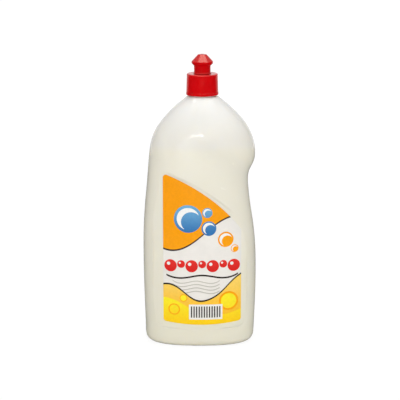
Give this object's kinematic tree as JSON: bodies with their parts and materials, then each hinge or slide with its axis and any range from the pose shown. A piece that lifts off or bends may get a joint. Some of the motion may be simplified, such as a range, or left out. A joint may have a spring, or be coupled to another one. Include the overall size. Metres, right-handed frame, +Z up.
{
  "type": "dish soap bottle",
  "caption": "Upright plastic bottle with a slanted label panel, a side finger grip, a screw cap and a push-pull spout.",
  "frame": {"origin": "on the floor under the middle of the bottle's width and depth", "axes": "+Z up, -Y out of the front, +X to the right seen from the front; the neck's axis is parallel to Z at x = 2.45 mm"},
  "size_m": [0.1092, 0.0648, 0.2808],
  "materials": {
    "bottle": "satin, slightly translucent",
    "soap_filling": "milky liquid",
    "cap_liner": "closed foam",
    "screw_cap": "moulded gloss",
    "pull_spout": "moulded gloss",
    "front_label": "film",
    "back_label": "film",
    "front_print_dark": "printed ink",
    "front_print_white": "printed ink",
    "front_print_blue": "printed ink",
    "front_print_red": "printed ink",
    "front_print_yellow": "printed ink",
    "front_print_orange": "printed ink",
    "front_print_amber": "printed ink",
    "front_print_grey": "printed ink",
    "back_print_band": "printed ink"
  },
  "bodies": {
    "bottle": {"bottle": "bottle", "soap_filling": "soap_filling", "front_label": "front_label", "back_label": "back_label", "front_print_dark": "front_print_dark", "front_print_white": "front_print_white", "front_print_blue": "front_print_blue", "front_print_red": "front_print_red", "front_print_yellow": "front_print_yellow", "front_print_orange": "front_print_orange", "front_print_amber": "front_print_amber", "front_print_grey": "front_print_grey", "back_print_band": "back_print_band"},
    "liner": {"cap_liner": "cap_liner"},
    "cap": {"screw_cap": "screw_cap"},
    "spout": {"pull_spout": "pull_spout"}
  },
  "joints": [
    {"name": "cap_lift", "type": "slide", "parent": "bottle", "child": "liner", "axis": [0, 0, 1], "range_m": [0, 0.00846]},
    {"name": "cap_turn", "type": "hinge", "parent": "liner", "child": "cap", "pos_m": [0.00245, 0, 0.25], "axis": [0, 0, 1], "range_deg": [0, 720]},
    {"name": "spout_slide", "type": "slide", "parent": "cap", "child": "spout", "axis": [0, 0, 1], "range_m": [0, 0.0055]}
  ],
  "couplings": [
    {"joint": "cap_lift", "follows": "cap_turn", "m_per_rad": 0.00067322}
  ]
}
